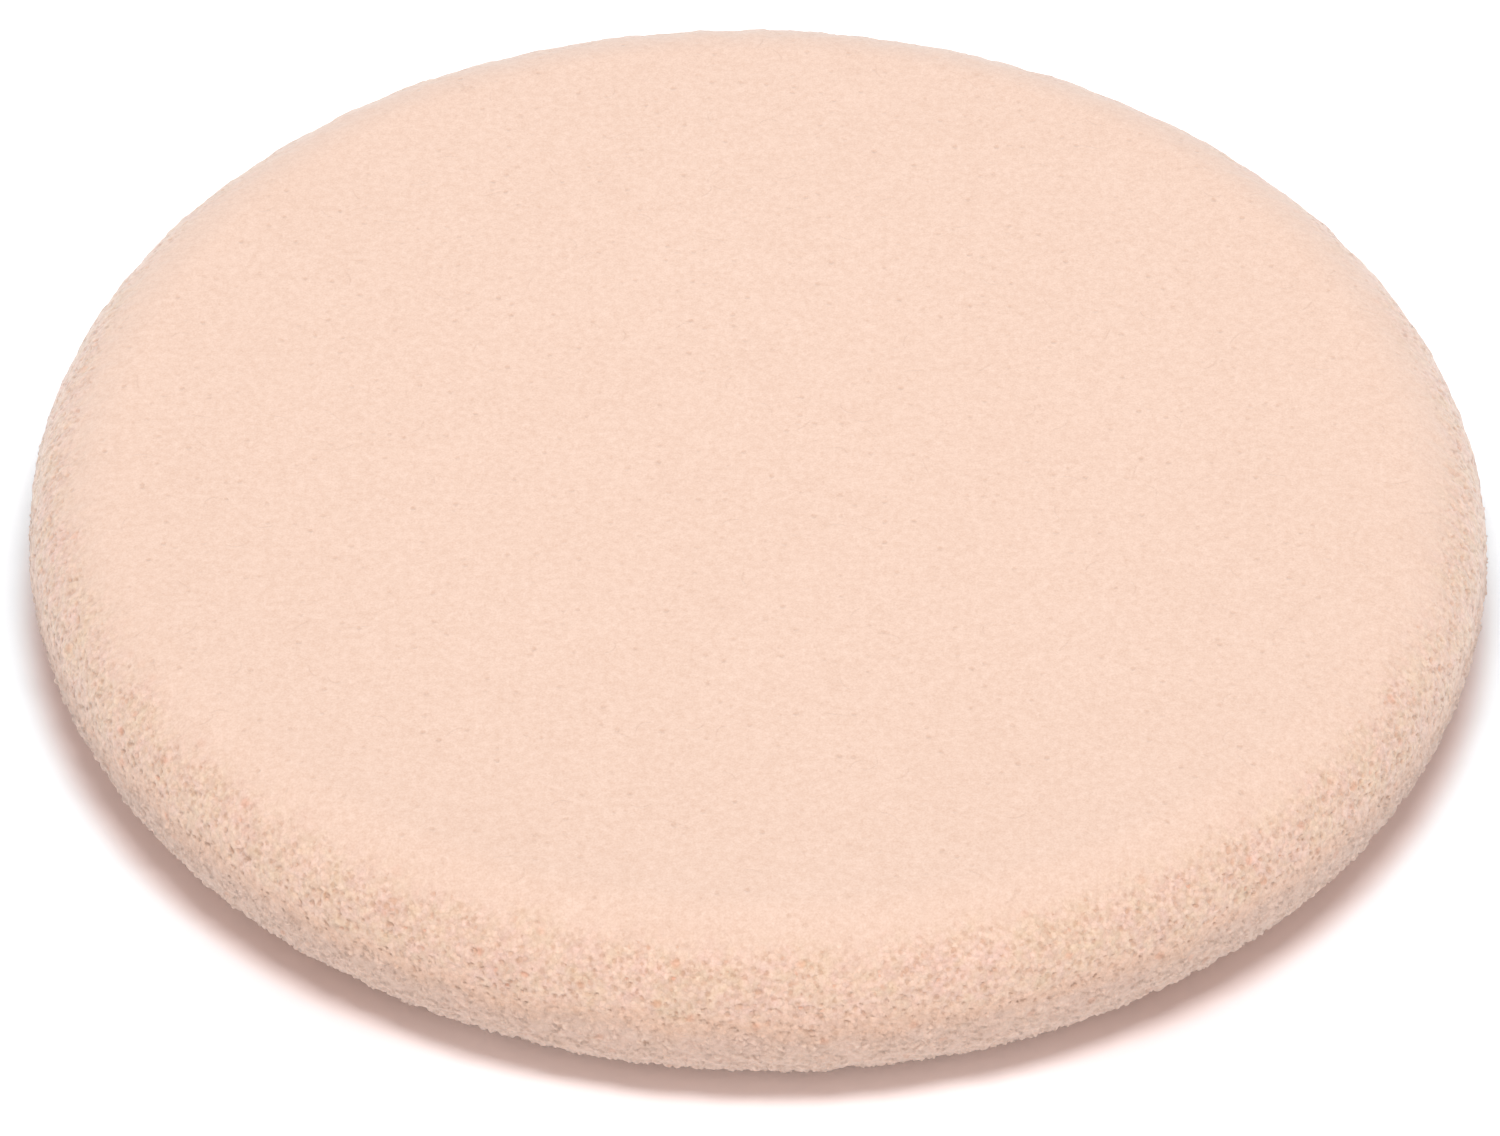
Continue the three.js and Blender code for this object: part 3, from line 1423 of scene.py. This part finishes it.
@dataclass(frozen=True)
class Studio:
    """Plain floor, a lamp overhead, white surroundings and the camera of the photograph.

    Attributes:
        key_level: Brightness that the lamp gives a level white surface in the middle.
        fill_level: Brightness that the surroundings give it.
        back_glow: How much brighter the surroundings are straight behind the sponge.
        horizon_glow: How much brighter they are along the horizon than overhead.
        lamp_place: Middle of the lamp.
        lamp_tilt_deg: Turn of the lamp from straight down towards the back, which lights the face evenly.
        lamp_width: Across the lamp.
        warm_gain: How bright the floor looks in each colour under the sponge's rim, where 1 is white; it
            paints the shadow there warmer and darker, with painted light like that which the foam throws.
        floor_gain: The same where the shadow ends, painted cooler.
        front_warm_gain: Under the rim, before the sponge, painted lighter.
        front_gain: Where the shadow ends, before the sponge, painted cooler still.
        front_slopes: Y over radius at which the floor starts to count as before the sponge, and at which
            it fully does.
        far_gain: On the open floor.
        warm_radii: Radius out to which the floor has the gain under the rim, and from which it has the
            gain where the shadow ends.
        far_radii: Radius from which the floor turns to the open floor's gain, and at which it has it.
        floor_colour: Share of light that the floor returns.
        floor_reach: From the axis to the floor's rim.
        floor_opening: Radius of the opening under the sponge, through which its underside is lit.
    """

    key_level: float = 0.606
    fill_level: float = 0.335
    back_glow: float = 0.35
    horizon_glow: float = 1.2
    lamp_place: tuple[float, float, float] = (3.0 * MM, -72.0 * MM, 244.0 * MM)
    lamp_tilt_deg: float = 66.0
    lamp_width: float = 110.0 * MM
    warm_gain: Colour = (0.99, 0.88, 0.87, 1.0)
    floor_gain: Colour = (1.01, 1.08, 1.13, 1.0)
    front_warm_gain: Colour = (1.14, 1.06, 1.07, 1.0)
    front_gain: Colour = (0.97, 1.16, 1.25, 1.0)
    front_slopes: tuple[float, float] = (-0.80, -0.97)
    far_gain: Colour = (1.3, 1.3, 1.3, 1.0)
    warm_radii: tuple[float, float] = (29.4 * MM, 31.0 * MM)
    far_radii: tuple[float, float] = (30.8 * MM, 34.0 * MM)
    floor_colour: float = 0.97
    floor_reach: float = 70.0 * MM
    floor_opening: float = 26.4 * MM

    FLOOR_COLUMNS = 96
    FLOOR_RINGS = 12

    def build(self, target: Vector) -> None:
        """Makes floor, light, surroundings and camera.

        Args:
            target: Middle of the sponge, which the camera goes round.
        """
        self.floor()
        self.key_light(target)
        self.surroundings()
        PhotoCamera().build(target)

    def floor(self) -> bpy.types.Object:
        """A flat ring about the axis, whose radii grow by an even factor.

        Returns:
            The floor's object.
        """
        radius = np.geomspace(self.floor_opening, self.floor_reach, self.FLOOR_RINGS)
        turn = np.linspace(0.0, 2.0 * np.pi, self.FLOOR_COLUMNS, endpoint=False)
        around = np.stack([np.cos(turn), np.sin(turn), 0.0 * turn], axis=-1)
        points = (radius[:, None, None] * around).reshape(-1, 3)
        ring = np.arange(self.FLOOR_RINGS - 1)[:, None]
        column = np.arange(self.FLOOR_COLUMNS)[None, :]
        after = (column + 1) % self.FLOOR_COLUMNS
        a, b = ring * self.FLOOR_COLUMNS, (ring + 1) * self.FLOOR_COLUMNS
        quads = np.stack([a + column, b + column, b + after, a + after], axis=-1).reshape(-1, 4)
        mesh = bpy.data.meshes.new("studio_floor")
        mesh.from_pydata(points.tolist(), [], quads.tolist())
        mesh.materials.append(self.floor_material())
        floor = bpy.data.objects.new("studio_floor", mesh)
        bpy.context.scene.collection.objects.link(floor)
        return floor

    @staticmethod
    def seen(sheet: NodeSheet) -> bpy.types.NodeSocket:
        """Tells the rays that show the background: from the camera, a mirror or glass.

        Args:
            sheet: Where the nodes go.

        Returns:
            1 for such a ray and 0 for any other.
        """
        path = sheet.add("ShaderNodeLightPath")
        mirror = sheet.math("MAXIMUM", path.outputs["Is Glossy Ray"], path.outputs["Is Transmission Ray"])
        return sheet.math("MAXIMUM", path.outputs["Is Camera Ray"], mirror)

    def gain(self, sheet: NodeSheet) -> bpy.types.NodeSocket:
        """How bright the floor looks to the camera, by its distance and direction from the axis.

        Args:
            sheet: Where the nodes go.

        Returns:
            A colour, which may be brighter than white.
        """
        # Near the sponge the gain paints its shadow: warmer under the rim, cooler at its end, lighter in
        # front
        place = sheet.place()
        away = sheet.results("ShaderNodeVectorMath", (place,), operation="LENGTH")["Value"]
        front = sheet.ramp(sheet.math("DIVIDE", sheet.axes(place)["Y"], away), *self.front_slopes)
        under_rim = sheet.mix(front, self.warm_gain, self.front_warm_gain)
        shadow_end = sheet.mix(front, self.floor_gain, self.front_gain)
        near = sheet.mix(sheet.ramp(away, *self.warm_radii), under_rim, shadow_end)
        return sheet.mix(sheet.ramp(away, *self.far_radii), near, self.far_gain)

    def floor_material(self) -> bpy.types.Material:
        """Matt white that looks overexposed to the camera, with its shadow, and is clear from below.

        Returns:
            A new material.
        """
        made = bpy.data.materials.new("studio_floor")
        made.use_nodes = True
        made.node_tree.nodes.clear()
        sheet = NodeSheet(made.node_tree)
        plain = sheet.add("ShaderNodeBsdfDiffuse")
        plain.inputs["Color"].default_value = (self.floor_colour,) * 3 + (1.0,)
        # What the camera sees of the floor: its shadow, with painted light tinting it near the sponge
        bright = sheet.results("ShaderNodeBsdfDiffuse", (self.gain(sheet),))
        seen = self.seen(sheet)
        top = sheet.blend(seen, plain.outputs["BSDF"], bright["BSDF"])
        below = sheet.math("MULTIPLY", sheet.add("ShaderNodeNewGeometry").outputs["Backfacing"], seen)
        both = sheet.blend(below, top, sheet.add("ShaderNodeBsdfTransparent").outputs["BSDF"])
        output = sheet.add("ShaderNodeOutputMaterial")
        sheet.feed(output.inputs["Surface"], both)
        return made

    def key_light(self, middle: Vector) -> None:
        """A round lamp overhead.

        A lamp of power P gives P cos(e) cos(i) / (pi d d) at a distance d, where e is the angle off its
        axis and i the angle of incidence. A white surface at brightness 1 takes in pi.

        Args:
            middle: Where the level is set.
        """
        tilt = math.radians(self.lamp_tilt_deg)
        axis = Vector((0.0, math.sin(tilt), -math.cos(tilt)))
        ray = middle - Vector(self.lamp_place)
        spread = axis.dot(ray.normalized()) * -ray.normalized().z
        light = bpy.data.lights.new("overhead_lamp", "AREA")
        light.shape = "DISK"
        light.size = self.lamp_width
        light.energy = self.key_level * math.pi**2 * ray.length_squared / spread
        lamp = bpy.data.objects.new("overhead_lamp", light)
        lamp.location = self.lamp_place
        lamp.rotation_euler = (tilt, 0.0, 0.0)
        bpy.context.scene.collection.objects.link(lamp)

    def surroundings(self) -> None:
        """White light from all round, brighter behind the sponge and along the horizon.

        The camera sees plain white, and so does what looks down past the floor.
        """
        world = bpy.data.worlds.new("surroundings")
        bpy.context.scene.world = world
        world.use_nodes = True
        world.node_tree.nodes.clear()
        sheet = NodeSheet(world.node_tree)
        direction = sheet.axes(sheet.add("ShaderNodeTexCoord").outputs["Generated"])
        from_below = sheet.math("LESS_THAN", direction["Z"], 0.0)
        white = sheet.math("MAXIMUM", from_below, self.seen(sheet))
        behind = sheet.math("POWER", sheet.math("MAXIMUM", direction["Y"], 0.0), 2.0)
        low = sheet.math("POWER", sheet.math("SUBTRACT", 1.0, direction["Z"], clamp=True), 2.0)
        glow = sheet.math("MULTIPLY_ADD", behind, self.back_glow, 1.0)
        glow = sheet.math("MULTIPLY_ADD", low, self.horizon_glow, glow)
        fill = sheet.math("MULTIPLY", glow, self.fill_level)
        strength = sheet.add("ShaderNodeMix")
        sheet.feed(strength.inputs["Factor"], white)
        sheet.feed(strength.inputs["A"], fill)
        sheet.feed(strength.inputs["B"], 1.0)
        background = sheet.add("ShaderNodeBackground")
        background.inputs["Color"].default_value = (1.0, 1.0, 1.0, 1.0)
        sheet.feed(background.inputs["Strength"], strength.outputs["Result"])
        output = sheet.add("ShaderNodeOutputWorld")
        sheet.feed(output.inputs["Surface"], background.outputs["Background"])


@dataclass(frozen=True)
class PhotoCamera:
    """Camera of the photograph, fitted to the sponge's outline and to the line where its cells begin.

    Attributes:
        elevation_deg: Of the eye above the sponge's middle.
        distance: From the sponge's middle to the eye.
        aim: Point that it looks at, from the sponge's middle.
        roll_deg: Turn about the line of sight.
        lens: Focal length, in millimetres.
        sensor: Width of the sensor, in millimetres.
        clip: Nearest and farthest distance that it shows.
    """

    elevation_deg: float = 41.954
    distance: float = 300.0 * MM
    aim: tuple[float, float, float] = (-0.306 * MM, -3.114 * MM, 0.0)
    roll_deg: float = 1.422
    lens: float = 174.38
    sensor: float = 36.0
    clip: tuple[float, float] = (0.01, 20.0)

    def build(self, middle: Vector) -> None:
        """Makes the camera and gives it to the scene.

        Args:
            middle: Middle of the sponge.
        """
        raised = math.radians(self.elevation_deg)
        eye = middle + self.distance * Vector((0.0, -math.cos(raised), math.sin(raised)))
        sight = (middle + Vector(self.aim) - eye).to_track_quat("-Z", "Y").to_matrix()
        data = bpy.data.cameras.new("photo_camera")
        data.sensor_width = self.sensor
        data.lens = self.lens
        data.clip_start, data.clip_end = self.clip
        camera = bpy.data.objects.new("photo_camera", data)
        camera.matrix_world = Matrix.Translation(eye) @ (
            sight @ Matrix.Rotation(math.radians(self.roll_deg), 3, "Z")
        ).to_4x4()
        bpy.context.scene.collection.objects.link(camera)
        bpy.context.scene.camera = camera


def press_limit(joint: str) -> float:
    """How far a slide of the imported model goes."""
    found = next(entry for entry in frame["joints"] if entry["name"] == joint)
    return max(abs(limit) for limit in found["range_m"])


def main() -> None:
    """Builds the layers in order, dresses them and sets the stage."""
    logging.basicConfig(level=logging.INFO, format="%(name)s: %(message)s")
    bpy.context.scene.view_settings.view_transform = "Standard"
    sizes = SpongeSizes.from_frame()
    profile = SpongeProfile(sizes)
    surface = FoamSurface()
    effects = FoamEffects(FoamColours())
    shared = {"cell_colour": effects.cell_colour(), "fine_grain": effects.fine_grain()}
    marked = {**shared, "skin_marks": effects.skin_marks()}
    core_finish = FoamFinish("ground_core_foam", marked=False, roughness=0.95).material(shared)
    face_finish = FoamFinish("smooth_face_foam", marked=True, roughness=0.85).material(marked)

    press = press_limit("face_press")
    core = FoamCore("open_cell_core", "foam_core", "base", "core_foam", profile, surface, press=press)
    upper = FaceLayer("upper_face_layer", "top_skin", "face", "face_foam", profile, surface, Side.UPPER)
    lower = FaceLayer("lower_face_layer", "bottom_skin", "base", "face_foam", profile, surface, Side.LOWER)
    for layer, finish in ((core, core_finish), (upper, face_finish), (lower, face_finish)):
        piece = layer.build()
        layer.dress(piece, finish)
        LOG.info("%s: %d points, %d faces", piece.name, len(piece.data.vertices), len(piece.data.polygons))

    Studio().build(Vector((0.0, 0.0, sizes.half_thickness)))
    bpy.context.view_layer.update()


if __name__ == "__main__":
    main()
